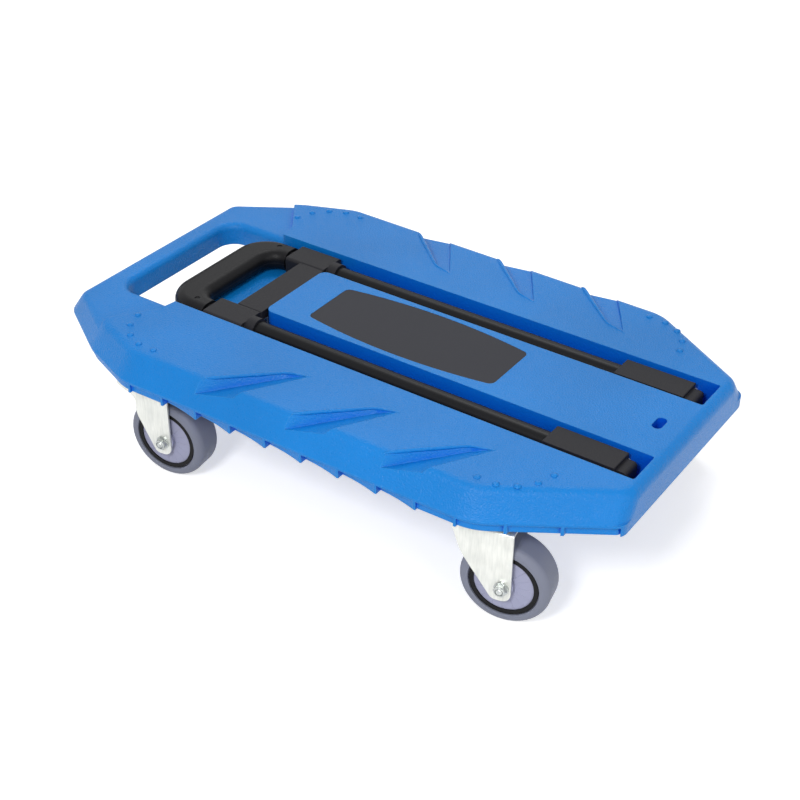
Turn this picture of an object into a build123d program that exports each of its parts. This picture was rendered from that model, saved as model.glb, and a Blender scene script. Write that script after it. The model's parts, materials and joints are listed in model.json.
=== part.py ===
from build123d import *
import math
import os

os.makedirs("parts", exist_ok=True)

# A folding platform cart: a moulded deck on four swivel casters, with a telescopic
# pull handle that folds flat into the deck.
# X runs from the carry end (-X) to the hinge end (+X), Y to the left, Z up from the floor.
# All sizes are in millimetres.

# Deck
deck_length = 776.0
deck_depth = 44.0
caster_height = 135.0
deck_top = caster_height + deck_depth
carry_x = -deck_length / 2
hinge_x = deck_length / 2
lip_height = 14.0
lip_thickness = 3.0
lip_z = caster_height + lip_height
bevel_inset = 20.0
bevel_rise = deck_top - lip_z
bevel_angle = math.degrees(math.atan(bevel_inset / bevel_rise))
top_edge_radius = 13.0
end_corner_radius = 24.0
frame_edge_radius = 10.0

# Plan outline of the lip, one half; the other half is its mirror image
carry_corner_y = 154.5
carry_corner_radius = 28.0
shoulder_x = -296.0
shoulder_y = 212.7
shoulder_radius = 90.0
side_start_x = -222.0
side_start_y = 242.0
side_start_radius = 70.0
side_end_x = 255.0
side_end_y = 231.7
side_end_radius = 70.0
hinge_corner_y = 147.8
hinge_corner_radius = 15.0

# Carry frame: the lower end of the deck with the opening for the hand
frame_drop = 8.0
frame_top = deck_top - frame_drop
frame_bottom = caster_height + 6.0
step_outer_x = -296.0
step_outer_y = 185.0
step_inner_x = -258.0
step_inner_y = 132.0
step_end_x = -252.0
step_outer_radius = 10.0
step_inner_radius = 20.0
grip_bar_inner_x = -346.5
hand_opening_end_x = -276.0
hand_corner_radius = 25.0
hand_rim_radius = 9.0

# Recess for the folded handle, with the island between its two channels
recess_half_width = 107.0
recess_depth = 32.0
recess_floor_z = deck_top - recess_depth
island_half_width = 59.0
island_start_x = -151.0
island_corner_radius = 10.0
channel_end_x = 375.0
channel_corner_radius = 3.0
hinge_well_x = 316.0
hinge_well_depth = 36.5
hinge_well_floor_z = deck_top - hinge_well_depth

# Shell thicknesses and the ribs beneath
skin = 4.0
trough_wall = 3.5
trough_floor = 3.0
skirt_inset = 4.0
core_inset = 13.0
rib_thickness = 3.0
rib_clearance = 8.0
long_rib_ys = (0.0, 30.0, 143.0, 180.0)

# Fins of the skirt, and the scallops between them along the sides
fin_pitch = 49.5
fin_thickness = 3.0
fin_origin_x = 38.0
fin_first = -5
fin_last = 6
scallop_first = -4
scallop_last = 2
scallop_start_inset = 9.0
scallop_middle_inset = 6.0
scallop_end_inset = 0.4
end_wall = 3.5

# Moulded pattern of the top: three scoops and two arcs of studs on each side
scoop_tip_y = 145.0
scoop_tip_x = -15.0
scoop_pitch = 123.5
scoop_count = 3
scoop_reach_y = 250.0
scoop_nose_y = 155.0
scoop_outer = (-134.0, -122.0, -66.0, 20.0, 9.0)
scoop_inner = (-29.0, -23.0, -5.5, 6.0, 3.4)
scoop_step = 2.0
scoop_overrun = 1.0
stud_radius = 3.5
stud_height = 2.2
stud_count = 5
stud_embed = 0.6
carry_arc_x = -210.7
carry_arc_y = 148.1
carry_arc_radius = 59.1
carry_arc_start = 79.0
hinge_arc_x = 248.7
hinge_arc_y = 141.3
hinge_arc_radius = 55.8
hinge_arc_start = 7.0
arc_step = 23.0

# Label plate set into the island, and the hanging hole at the hinge end
label_start_x = -99.0
label_end_x = 162.0
label_end_half_width = 40.0
label_middle_half_width = 52.0
label_corner_radius = 8.0
label_thickness = 0.8
label_recess = 1.0
label_clearance = 0.3
hole_x = 351.0
hole_length = 23.0
hole_width = 12.0

# Folding telescopic handle
tube_spacing = 164.0
tube_y = tube_spacing / 2
tube_drop = 16.0
tube_z = deck_top - tube_drop
outer_tube_diameter = 25.0
outer_tube_bore = 22.0
inner_tube_diameter = 21.4
inner_tube_wall = 1.2
outer_tube_start_x = -205.0
inner_tube_end_x = 215.0
handle_sink = 2.5
tube_socket_end_x = 325.0
fit_gap = 0.05

hinge_axis_x = 345.0
hinge_axis_drop = 18.0
hinge_axis_z = deck_top - hinge_axis_drop
hinge_pin_diameter = 8.0
pin_clearance = 0.06
pin_head_diameter = 12.0
pin_head_thickness = 2.5
pin_bore_length = 62.0
block_start_x = 260.0
block_end_x = 348.0
block_width = 34.0
block_height = 28.0
block_top_z = deck_top - handle_sink
block_bottom_z = block_top_z - block_height
block_edge = 2.5
tongue_width = 25.0
tongue_length = 13.0
tongue_height = 21.0
tongue_rise = 2.5
tongue_bottom_z = block_bottom_z + tongue_rise
tongue_top_z = tongue_bottom_z + tongue_height
tongue_corner_radius = 5.0

collar_start_x = -215.0
collar_end_x = -155.0
collar_width = 40.0
collar_height = 27.5
collar_top_z = deck_top - handle_sink
collar_bottom_z = collar_top_z - collar_height
collar_edge = 4.0
sleeve_length = 13.0
sleeve_diameter = 31.0
sleeve_edge = 2.5
crossbar_start_x = -191.0
crossbar_end_x = -154.0
crossbar_height = 12.0
crossbar_sink = 3.0
crossbar_top_z = deck_top - crossbar_sink
crossbar_bottom_z = crossbar_top_z - crossbar_height
crossbar_edge = 1.5

# Hand grip of the handle
grip_outer_x = -288.0
grip_inner_x = -243.0
grip_end_x = -221.0
grip_half_width = 99.0
grip_arm_width = 33.0
grip_outer_radius = 46.0
grip_inner_radius = 20.0
grip_height = 28.0
grip_top_z = deck_top - handle_sink
grip_bottom_z = grip_top_z - grip_height
grip_rounding = 13.0
grip_seam_rise = 13.5
grip_seam_z = grip_bottom_z + grip_seam_rise
grip_pad_depth = 13.0
grip_pad_length = 144.0
grip_socket_depth = 40.0
grip_screw_x = -240.0
grip_screw_diameter = 4.0
grip_screw_head_diameter = 7.0
grip_screw_recess = 0.8
grip_screw_head_height = 1.6
grip_screw_length = 9.0

# Casters: positions of the swivel axes and the way each caster trails at rest
carry_caster_x = -231.0
carry_caster_y = 191.0
hinge_caster_x = 241.0
hinge_caster_y = 186.0
casters = (
    ("carry_left", carry_caster_x, carry_caster_y, -5.0, True),
    ("carry_right", carry_caster_x, -carry_caster_y, 7.0, True),
    ("hinge_left", hinge_caster_x, hinge_caster_y, 4.0, False),
    ("hinge_right", hinge_caster_x, -hinge_caster_y, 11.2, False),
)
wheel_diameter = 104.0
wheel_radius = wheel_diameter / 2
wheel_width = 40.0
trail = 35.0

plate_length = 76.0
plate_width = 50.0
plate_thickness = 2.5
plate_corner_radius = 12.0
screw_spacing_x = 56.0
screw_spacing_y = 32.0
screw_diameter = 5.0
screw_length = 18.0
screw_head_flats = 8.0
screw_head_height = 3.5
boss_diameter = 12.0
pad_margin = 2.0

cup_diameter = 44.0
cup_depth = 3.5
race_diameter = 47.0
cup_taper = 30.0
race_edge = 1.5
screw_clearance = 0.2
swivel_gap = 0.3
race_height = 3.2
fork_sheet = 2.5
fork_inner_width = 44.0
fork_rear_reach = 26.0
fork_front_reach = 10.5
fork_neck_s = -14.0
fork_neck_drop = 37.5
braked_leg_s = -1.0
braked_leg_radii = (6.0, 10.0, 30.0)
braked_shoulder_drop = 8.0
braked_shoulder_height = 11.0
braked_waist_drop = 42.0
fork_neck_radius = 60.0
fork_heel_s = 24.0
fork_heel_radius = 9.0
fork_foot_radius = 11.0
fork_foot_drop = 18.0
fork_bend_radius = 3.5
kingpin_diameter = 10.0
kingpin_head_diameter = 17.0
kingpin_head_height = 3.0

plate_bottom = caster_height - plate_thickness
cup_bottom = plate_bottom - cup_depth
crown_top = cup_bottom - swivel_gap - race_height
crown_bottom = crown_top - fork_sheet

# Wheel, from the axle outwards
axle_diameter = 8.0
bush_diameter = 12.0
running_clearance = 0.06
hub_boss_radius = 12.0
hub_face_radius = 34.3
hub_face_half_width = 17.0
hub_boss_half_width = 21.6
hub_rim_radius = 40.5
ring_outer_radius = 39.4
ring_depth = 1.2
ring_face_half_width = 18.5
tyre_shoulder_radius = 9.0
axle_head_flats = 13.0
axle_head_height = 5.0
nut_flats = 13.0
nut_height = 6.5
nut_flange_diameter = 17.0
nut_flange_height = 1.6
axle_end_margin = 2.0

# Brake pedal of the casters at the carry end
brake_pin_diameter = 5.0
brake_pin_head = 1.5
brake_pin_s = 39.0
brake_pin_rise = 63.0
pedal_width = 30.0
pedal_sheet = 2.0
pedal_reach = 80.0
pedal_ear_radius = 5.5
pedal_rise = 3.0
shoe_s = 59.0
shoe_gap = 3.9
shoe_length = 8.0


def mirrored_points(half):
    """Points of the mirror image of one half, followed by the half itself in reverse order."""
    other = [(x, -y) for x, y in half]
    return other + half[::-1]


def closed_outline(points, radii):
    """Sketch of a closed polygon whose corners are rounded to the given radii."""
    with BuildSketch(Plane.XY) as outline:
        with BuildLine():
            FilletPolyline(points, radius=radii, close=True)
        make_face()
    return outline.sketch_local


def deck_outline(hinge_reach=0.0):
    """Deck's outline at the lip; hinge_reach runs its diagonals past the end wall."""
    slope = (hinge_corner_y - side_end_y) / (hinge_x - side_end_x)
    half = [
        (carry_x, carry_corner_y),
        (shoulder_x, shoulder_y),
        (side_start_x, side_start_y),
        (side_end_x, side_end_y),
        (hinge_x + hinge_reach, hinge_corner_y + slope * hinge_reach),
    ]
    radii = [
        carry_corner_radius,
        shoulder_radius,
        side_start_radius,
        side_end_radius,
        hinge_corner_radius,
    ]
    return closed_outline(mirrored_points(half), radii + radii[::-1])


def recess_outline():
    """The handle's recess: the hand opening, the tray and the two channels."""
    points = [
        (grip_bar_inner_x, recess_half_width),
        (channel_end_x, recess_half_width),
        (channel_end_x, island_half_width),
        (island_start_x, island_half_width),
    ]
    radii = [
        hand_corner_radius,
        channel_corner_radius,
        channel_corner_radius,
        island_corner_radius,
    ]
    return closed_outline(mirrored_points(points), radii + radii[::-1])


def frame_zone():
    """Everything that lies at the carry end of the wings' step."""
    half = [
        (carry_x - bevel_inset, side_start_y + bevel_inset),
        (step_outer_x, side_start_y + bevel_inset),
        (step_outer_x, step_outer_y),
        (step_inner_x, step_inner_y),
        (step_end_x, 0.9 * recess_half_width),
    ]
    radii = [0, 0, step_outer_radius, step_inner_radius, 0]
    return closed_outline(mirrored_points(half), radii + radii[::-1])


def side_y(x):
    """Half width of the lip along the straight side, at x."""
    slope = (side_end_y - side_start_y) / (side_end_x - side_start_x)
    return side_start_y + slope * (x - side_start_x)


def bevelled_body(top_z, edge_radius):
    """Body above the lip: its sides lean in up to top_z, its end wall stands upright."""
    with BuildPart() as body:
        with BuildSketch(Plane.XY.offset(lip_z)):
            add(deck_outline(hinge_reach=2 * bevel_inset))
        extrude(amount=top_z - lip_z, taper=bevel_angle)
        with BuildSketch(Plane.XY.offset(lip_z)):
            with Locations((hinge_x, 0)):
                Rectangle(deck_length, deck_span, align=(Align.MIN, Align.CENTER))
        extrude(amount=bevel_rise, mode=Mode.SUBTRACT)
        end_corners = body.edges().filter_by(
            lambda edge: edge.center().X > hinge_x - 1 and lip_z + 1 < edge.center().Z < top_z - 1
        )
        fillet(end_corners, radius=end_corner_radius)
        fillet(body.faces().sort_by(Axis.Z)[-1].outer_wire().edges(), radius=edge_radius)
    return body.part


def scoop_section(tip_x, y, size, backing):
    """Upright cut through a scoop at y: its ridge, foot and brow measured from the tip, and two depths."""
    ridge, foot, brow, ridge_depth, brow_depth = size
    top = deck_top + scoop_overrun
    with BuildSketch(Plane((0, y, 0), x_dir=(1, 0, 0), z_dir=(0, -1, 0))) as section:
        with BuildLine():
            Polyline(
                (tip_x + ridge - backing, top),
                (tip_x + foot - backing / 2, top - ridge_depth - backing),
                (tip_x + brow - scoop_step + backing / 2, top - brow_depth - backing),
                (tip_x + brow + backing, top),
                close=True,
            )
        make_face()
    return section.sketch


def scoop_form(tip_x, side, backing=0.0):
    """Wedge of one scoop, from its tip to beyond the deck's side; backing thickens it all round."""
    outer = scoop_section(tip_x, side * scoop_reach_y, scoop_outer, backing)
    inner = scoop_section(tip_x, side * scoop_nose_y, scoop_inner, backing)
    tip = Vertex(tip_x, side * (scoop_tip_y - 2 * backing), deck_top + scoop_overrun)
    with BuildPart() as scoop:
        loft(sections=[outer, inner], ruled=True)
        loft(sections=[inner, tip], ruled=True)
    return scoop.part


def label_outline(clearance=0.0):
    """Outline of the label plate, with bowed long sides; clearance widens it all round."""
    middle_x = (label_start_x + label_end_x) / 2
    with BuildSketch(Plane.XY) as outline:
        with BuildLine():
            Line((label_start_x, label_end_half_width), (label_start_x, -label_end_half_width))
            ThreePointArc(
                (label_start_x, -label_end_half_width),
                (middle_x, -label_middle_half_width),
                (label_end_x, -label_end_half_width),
            )
            Line((label_end_x, -label_end_half_width), (label_end_x, label_end_half_width))
            ThreePointArc(
                (label_end_x, label_end_half_width),
                (middle_x, label_middle_half_width),
                (label_start_x, label_end_half_width),
            )
        make_face()
        fillet(outline.vertices(), radius=label_corner_radius)
        if clearance:
            offset(amount=clearance)
    return outline.sketch_local


deck_span = 2 * (side_start_y + bevel_inset)
fin_xs = [fin_origin_x + fin_pitch * number for number in range(fin_first, fin_last + 1)]
scallop_xs = [fin_origin_x + fin_pitch * number for number in range(scallop_first, scallop_last + 1)]
scallop_zone_start = scallop_xs[0] - fin_thickness / 2
scallop_zone_end = scallop_xs[-1] + fin_pitch + fin_thickness / 2

# Material taken out of the skirt below the lip: a band that leaves the thin fins, and
# along the straight sides a scallop between each fin and the next
with BuildPart() as skirt_recess:
    with BuildSketch(Plane.XY.offset(caster_height)):
        add(deck_outline())
        offset(amount=bevel_inset, kind=Kind.INTERSECTION)
    extrude(amount=lip_height - lip_thickness)
    with BuildSketch(Plane.XY.offset(caster_height)):
        add(deck_outline())
        offset(amount=-skirt_inset, kind=Kind.INTERSECTION)
    extrude(amount=lip_height - lip_thickness, mode=Mode.SUBTRACT)
    with BuildSketch(Plane.XY.offset(caster_height)):
        with Locations(*[(x, 0) for x in fin_xs]):
            Rectangle(fin_thickness, deck_span)
        with Locations(((scallop_zone_start + scallop_zone_end) / 2, 0)):
            Rectangle(scallop_zone_end - scallop_zone_start, deck_span)
        with Locations((hinge_x - end_wall / 2, 0)):
            Rectangle(end_wall, 2 * hinge_corner_y)
        with Locations((hinge_x - skirt_inset / 2, 0)):
            Rectangle(skirt_inset + 2, 2 * (hinge_corner_y - skirt_inset))
    extrude(amount=lip_height - lip_thickness, mode=Mode.SUBTRACT)
    for start_x in scallop_xs:
        near_x = start_x + fin_thickness / 2
        middle_x = start_x + fin_pitch / 2
        far_x = start_x + fin_pitch - fin_thickness / 2
        outside_y = side_start_y + bevel_inset
        with BuildSketch(Plane.XY.offset(caster_height)):
            with BuildLine():
                Line((near_x, outside_y), (near_x, side_y(near_x) - scallop_start_inset))
                ThreePointArc(
                    (near_x, side_y(near_x) - scallop_start_inset),
                    (middle_x, side_y(middle_x) - scallop_middle_inset),
                    (far_x, side_y(far_x) - scallop_end_inset),
                )
                Line((far_x, side_y(far_x) - scallop_end_inset), (far_x, outside_y))
                Line((far_x, outside_y), (near_x, outside_y))
            make_face()
            mirror(about=Plane.XZ)
        extrude(amount=lip_height - lip_thickness)

# The hollow of the underside: what is left of it between the ribs, the trough of the
# recess and the caster pads is open from below
core_shoulder_z = lip_z + bevel_rise * (core_inset - trough_wall) / bevel_inset
core_top = deck_top - skin
with BuildPart() as underside_core:
    with BuildSketch(Plane.XY.offset(caster_height)):
        add(deck_outline())
        offset(amount=-core_inset, kind=Kind.INTERSECTION)
    extrude(amount=core_shoulder_z - caster_height)
    with BuildSketch(Plane.XY.offset(core_shoulder_z)):
        add(deck_outline())
        offset(amount=-core_inset, kind=Kind.INTERSECTION)
    extrude(amount=core_top - core_shoulder_z, taper=bevel_angle)
    with BuildSketch(Plane.XY.offset(frame_top - skin)):
        add(frame_zone())
        offset(amount=trough_wall, kind=Kind.INTERSECTION)
    extrude(amount=frame_drop, mode=Mode.SUBTRACT)
    with BuildSketch(Plane.XY.offset(recess_floor_z - trough_floor)):
        add(recess_outline())
        offset(amount=trough_wall, kind=Kind.INTERSECTION)
    extrude(amount=deck_depth, mode=Mode.SUBTRACT)
    with BuildSketch(Plane.XY.offset(frame_bottom)):
        with Locations(((grip_bar_inner_x + hand_opening_end_x) / 2, 0)):
            RectangleRounded(
                hand_opening_end_x - grip_bar_inner_x + 2 * trough_wall,
                2 * (recess_half_width + trough_wall),
                hand_corner_radius,
            )
    extrude(amount=deck_depth, mode=Mode.SUBTRACT)
    with BuildSketch(Plane.XY.offset(hinge_well_floor_z - trough_floor)):
        with Locations(((hinge_well_x + channel_end_x) / 2, 0)):
            Rectangle(channel_end_x - hinge_well_x + 2 * trough_wall, 2 * (recess_half_width + trough_wall))
            Rectangle(
                channel_end_x - hinge_well_x + 2 * trough_wall,
                2 * (island_half_width - trough_wall),
                mode=Mode.SUBTRACT,
            )
    extrude(amount=deck_depth, mode=Mode.SUBTRACT)
    for number in range(scoop_count):
        for side in (-1, 1):
            add(scoop_form(scoop_tip_x + scoop_pitch * number, side, backing=skin), mode=Mode.SUBTRACT)
    with BuildSketch(Plane.XY.offset(caster_height + rib_clearance)):
        with Locations(*[(x, 0) for x in fin_xs]):
            Rectangle(rib_thickness, deck_span)
        for y in long_rib_ys:
            with Locations((0, y), (0, -y)):
                Rectangle(deck_length, rib_thickness)
    extrude(amount=deck_depth, mode=Mode.SUBTRACT)
    with BuildSketch(Plane.XY.offset(caster_height)):
        with Locations((hole_x, 0)):
            SlotOverall(hole_length + 2 * trough_wall, hole_width + 2 * trough_wall, rotation=90)
        for name, x, y, yaw, braked in casters:
            with Locations((x, y)):
                Rectangle(plate_length + 2 * pad_margin, plate_width + 2 * pad_margin)
                Rectangle(
                    plate_length + 2 * (pad_margin - rib_thickness),
                    plate_width + 2 * (pad_margin - rib_thickness),
                    mode=Mode.SUBTRACT,
                )
                Rectangle(rib_thickness, plate_width)
                Rectangle(plate_length, rib_thickness)
                with GridLocations(screw_spacing_x, screw_spacing_y, 2, 2):
                    Circle(boss_diameter / 2)
    extrude(amount=deck_depth, mode=Mode.SUBTRACT)

# Deck moulding: bevelled body with its thin lip, the lowered carry frame, the handle's
# recess and the moulded pattern, with the skirt and the underside taken out of it
stud_sphere_radius = (stud_radius**2 + stud_height**2) / (2 * stud_height)
stud_latitude = math.degrees(math.asin((stud_sphere_radius - stud_height - stud_embed) / stud_sphere_radius))
with BuildPart() as deck:
    add(bevelled_body(deck_top, top_edge_radius))
    with BuildSketch(Plane.XY.offset(lip_z)):
        add(frame_zone())
    extrude(amount=2 * bevel_rise, mode=Mode.SUBTRACT)
    add(bevelled_body(frame_top, frame_edge_radius))
    with BuildSketch(Plane.XY.offset(caster_height)):
        add(deck_outline())
    extrude(amount=lip_height)
    with BuildSketch(Plane.XY.offset(recess_floor_z)):
        add(recess_outline())
    extrude(amount=deck_depth, mode=Mode.SUBTRACT)
    hand_rim = deck.edges().filter_by(
        lambda edge: abs(edge.center().Z - frame_top) < 0.01
        and abs(edge.center().Y) < recess_half_width + 0.1
        and grip_bar_inner_x - 0.1 < edge.center().X < step_end_x
    )
    fillet(hand_rim, radius=hand_rim_radius)
    with BuildSketch(Plane.XY.offset(caster_height)):
        with Locations(((grip_bar_inner_x + hand_opening_end_x) / 2, 0)):
            RectangleRounded(hand_opening_end_x - grip_bar_inner_x, 2 * recess_half_width, hand_corner_radius)
    extrude(amount=deck_depth, mode=Mode.SUBTRACT)
    with BuildSketch(Plane.XY.offset(hinge_well_floor_z)):
        with Locations(((hinge_well_x + channel_end_x) / 2, 0)):
            Rectangle(channel_end_x - hinge_well_x, 2 * recess_half_width)
            Rectangle(channel_end_x - hinge_well_x, 2 * island_half_width, mode=Mode.SUBTRACT)
    extrude(amount=recess_floor_z - hinge_well_floor_z, mode=Mode.SUBTRACT)
    add(skirt_recess.part, mode=Mode.SUBTRACT)
    add(underside_core.part, mode=Mode.SUBTRACT)
    for number in range(scoop_count):
        for side in (-1, 1):
            add(scoop_form(scoop_tip_x + scoop_pitch * number, side), mode=Mode.SUBTRACT)
    stud_places = []
    for centre_x, centre_y, radius, start in (
        (carry_arc_x, carry_arc_y, carry_arc_radius, carry_arc_start),
        (hinge_arc_x, hinge_arc_y, hinge_arc_radius, hinge_arc_start),
    ):
        for number in range(stud_count):
            angle = math.radians(start + arc_step * number)
            stud_x = centre_x + radius * math.cos(angle)
            stud_y = centre_y + radius * math.sin(angle)
            stud_places.append((stud_x, stud_y))
            stud_places.append((stud_x, -stud_y))
    stud_centre_z = deck_top + stud_height - stud_sphere_radius
    with Locations(*[(x, y, stud_centre_z) for x, y in stud_places]):
        Sphere(stud_sphere_radius, arc_size1=stud_latitude, arc_size2=90, align=None)
    with BuildSketch(Plane.XY.offset(caster_height)):
        with Locations((hole_x, 0)):
            SlotOverall(hole_length, hole_width, rotation=90)
    extrude(amount=deck_depth, mode=Mode.SUBTRACT)
    with BuildSketch(Plane.XY.offset(caster_height)):
        for name, x, y, yaw, braked in casters:
            with Locations((x, y)):
                with GridLocations(screw_spacing_x, screw_spacing_y, 2, 2):
                    Circle(screw_diameter / 2)
    extrude(amount=screw_length, mode=Mode.SUBTRACT)
    with BuildSketch(Plane.XY.offset(deck_top - label_recess)):
        add(label_outline(clearance=label_clearance))
    extrude(amount=label_recess, mode=Mode.SUBTRACT)
    with Locations(*[(hinge_axis_x, side * tube_y, hinge_axis_z) for side in (-1, 1)]):
        Cylinder(hinge_pin_diameter / 2 + fit_gap, pin_bore_length, rotation=(90, 0, 0), mode=Mode.SUBTRACT)
deck.part.label = "deck"
export_step(deck.part, "parts/deck.step")

# Label plate lying in its shallow recess
with BuildPart() as label_plate:
    with BuildSketch(Plane.XY.offset(deck_top - label_recess)):
        add(label_outline())
    extrude(amount=label_thickness)
label_plate.part.label = "label_plate"
export_step(label_plate.part, "parts/label_plate.step")

# The two hinge pins of the handle, each with a head outside its channel and a clip inside
with BuildPart() as hinge_pins:
    for side in (-1, 1):
        inner_y = side * (island_half_width - trough_wall)
        outer_y = side * (recess_half_width + trough_wall)
        with Locations((hinge_axis_x, (inner_y + outer_y) / 2, hinge_axis_z)):
            Cylinder(hinge_pin_diameter / 2, abs(outer_y - inner_y), rotation=(90, 0, 0))
        with Locations((hinge_axis_x, outer_y + side * pin_head_thickness / 2, hinge_axis_z)):
            Cylinder(pin_head_diameter / 2, pin_head_thickness, rotation=(90, 0, 0))
        with Locations((hinge_axis_x, inner_y - side * pin_head_thickness / 2, hinge_axis_z)):
            Cylinder(pin_head_diameter / 2, pin_head_thickness, rotation=(90, 0, 0))
hinge_pins.part.label = "hinge_pins"
export_step(hinge_pins.part, "parts/hinge_pins.step")

# Handle frame: two outer tubes between the hinge blocks and the bridge
for side_name, side in (("left", 1), ("right", -1)):
    with BuildPart() as outer_tube:
        with BuildSketch(Plane.YZ.offset(outer_tube_start_x)):
            with Locations((side * tube_y, tube_z)):
                Circle(outer_tube_diameter / 2)
                Circle(outer_tube_bore / 2, mode=Mode.SUBTRACT)
        extrude(amount=tube_socket_end_x - outer_tube_start_x)
    outer_tube.part.label = "outer_tube_" + side_name
    export_step(outer_tube.part, "parts/outer_tube_" + side_name + ".step")

    with BuildPart() as hinge_block:
        with BuildSketch(Plane.XZ.offset(-side * tube_y)):
            with BuildLine():
                FilletPolyline(
                    (block_start_x, block_bottom_z),
                    (block_end_x, block_bottom_z),
                    (block_end_x, tongue_bottom_z),
                    (block_end_x + tongue_length, tongue_bottom_z),
                    (block_end_x + tongue_length, tongue_top_z),
                    (block_end_x, tongue_top_z),
                    (block_end_x, block_top_z),
                    (block_start_x, block_top_z),
                    radius=[block_edge, 1, 0, tongue_corner_radius, tongue_corner_radius, 0, 1, block_edge],
                    close=True,
                )
            make_face()
        extrude(amount=block_width / 2, both=True)
        with BuildSketch(Plane.XY.offset(block_bottom_z)):
            with Locations((block_end_x + tongue_length / 2, side * tube_y)):
                Rectangle(tongue_length, 2 * block_width)
                Rectangle(tongue_length, tongue_width, mode=Mode.SUBTRACT)
        extrude(amount=deck_depth, mode=Mode.SUBTRACT)
        with BuildSketch(Plane.YZ.offset(block_start_x)):
            with Locations((side * tube_y, tube_z)):
                Circle(outer_tube_diameter / 2 + fit_gap)
        extrude(amount=tube_socket_end_x - block_start_x, mode=Mode.SUBTRACT)
        with Locations((hinge_axis_x, side * tube_y, hinge_axis_z)):
            Cylinder(
                hinge_pin_diameter / 2 + pin_clearance, 2 * block_width, rotation=(90, 0, 0), mode=Mode.SUBTRACT
            )
    hinge_block.part.label = "hinge_block_" + side_name
    export_step(hinge_block.part, "parts/hinge_block_" + side_name + ".step")

# Bridge: the two collars that guide the inner tubes, joined by a flat bar
with BuildPart() as handle_bridge:
    for side in (-1, 1):
        with BuildSketch(Plane.YZ.offset(collar_start_x)):
            with Locations((side * tube_y, (collar_bottom_z + collar_top_z) / 2)):
                RectangleRounded(collar_width, collar_height, collar_edge)
        extrude(amount=collar_end_x - collar_start_x)
        with BuildSketch(Plane.YZ.offset(collar_end_x)):
            with Locations((side * tube_y, tube_z)):
                Circle(sleeve_diameter / 2)
        extrude(amount=sleeve_length)
    with BuildSketch(Plane.YZ.offset(crossbar_start_x)):
        with Locations((0, (crossbar_bottom_z + crossbar_top_z) / 2)):
            RectangleRounded(tube_spacing - collar_width + 2, crossbar_height, crossbar_edge)
    extrude(amount=crossbar_end_x - crossbar_start_x)
    for side in (-1, 1):
        with BuildSketch(Plane.YZ.offset(collar_start_x)):
            with Locations((side * tube_y, tube_z)):
                Circle(inner_tube_diameter / 2 + running_clearance)
        extrude(amount=collar_end_x - collar_start_x, mode=Mode.SUBTRACT)
        with BuildSketch(Plane.YZ.offset(outer_tube_start_x)):
            with Locations((side * tube_y, tube_z)):
                Circle(outer_tube_diameter / 2 + fit_gap)
        extrude(amount=collar_end_x + sleeve_length - outer_tube_start_x, mode=Mode.SUBTRACT)
handle_bridge.part.label = "handle_bridge"
export_step(handle_bridge.part, "parts/handle_bridge.step")

# Inner tubes, which slide in the outer ones and carry the grip
for side_name, side in (("left", 1), ("right", -1)):
    with BuildPart() as inner_tube:
        with BuildSketch(Plane.YZ.offset(grip_end_x - grip_socket_depth)):
            with Locations((side * tube_y, tube_z)):
                Circle(inner_tube_diameter / 2)
                Circle(inner_tube_diameter / 2 - inner_tube_wall, mode=Mode.SUBTRACT)
        extrude(amount=inner_tube_end_x - grip_end_x + grip_socket_depth)
        with BuildSketch(Plane.XY.offset(tube_z)):
            with Locations((grip_screw_x, side * tube_y)):
                Circle(grip_screw_diameter / 2 + fit_gap)
        extrude(amount=inner_tube_diameter, mode=Mode.SUBTRACT)
    inner_tube.part.label = "inner_tube_" + side_name
    export_step(inner_tube.part, "parts/inner_tube_" + side_name + ".step")

# Grip: one rounded form, parted into an upper and a lower shell and a soft pad
grip_length = grip_end_x - grip_outer_x
with BuildPart() as grip_form:
    with BuildSketch(Plane.XY.offset(grip_bottom_z)):
        add(
            closed_outline(
                mirrored_points(
                    [
                        (grip_outer_x, grip_half_width),
                        (grip_end_x, grip_half_width),
                        (grip_end_x, grip_half_width - grip_arm_width),
                        (grip_inner_x, grip_half_width - grip_arm_width),
                    ]
                ),
                [grip_outer_radius, 0, 0, grip_inner_radius, grip_inner_radius, 0, 0, grip_outer_radius],
            )
        )
    extrude(amount=grip_height)
    rim_edges = grip_form.edges().filter_by(Plane.XY).filter_by(lambda edge: edge.center().X < grip_end_x - 1)
    fillet(rim_edges, radius=grip_rounding)
    for side in (-1, 1):
        with BuildSketch(Plane.YZ.offset(grip_end_x)):
            with Locations((side * tube_y, tube_z)):
                Circle(inner_tube_diameter / 2 + fit_gap)
        extrude(amount=-grip_socket_depth, mode=Mode.SUBTRACT)

with BuildPart() as grip_pad:
    with Locations((grip_outer_x, 0, grip_bottom_z)):
        Box(grip_pad_depth, grip_pad_length, grip_height, align=(Align.MIN, Align.CENTER, Align.MIN))
    add(grip_form.part, mode=Mode.INTERSECT)
grip_pad.part.label = "grip_pad"
export_step(grip_pad.part, "parts/grip_pad.step")

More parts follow.
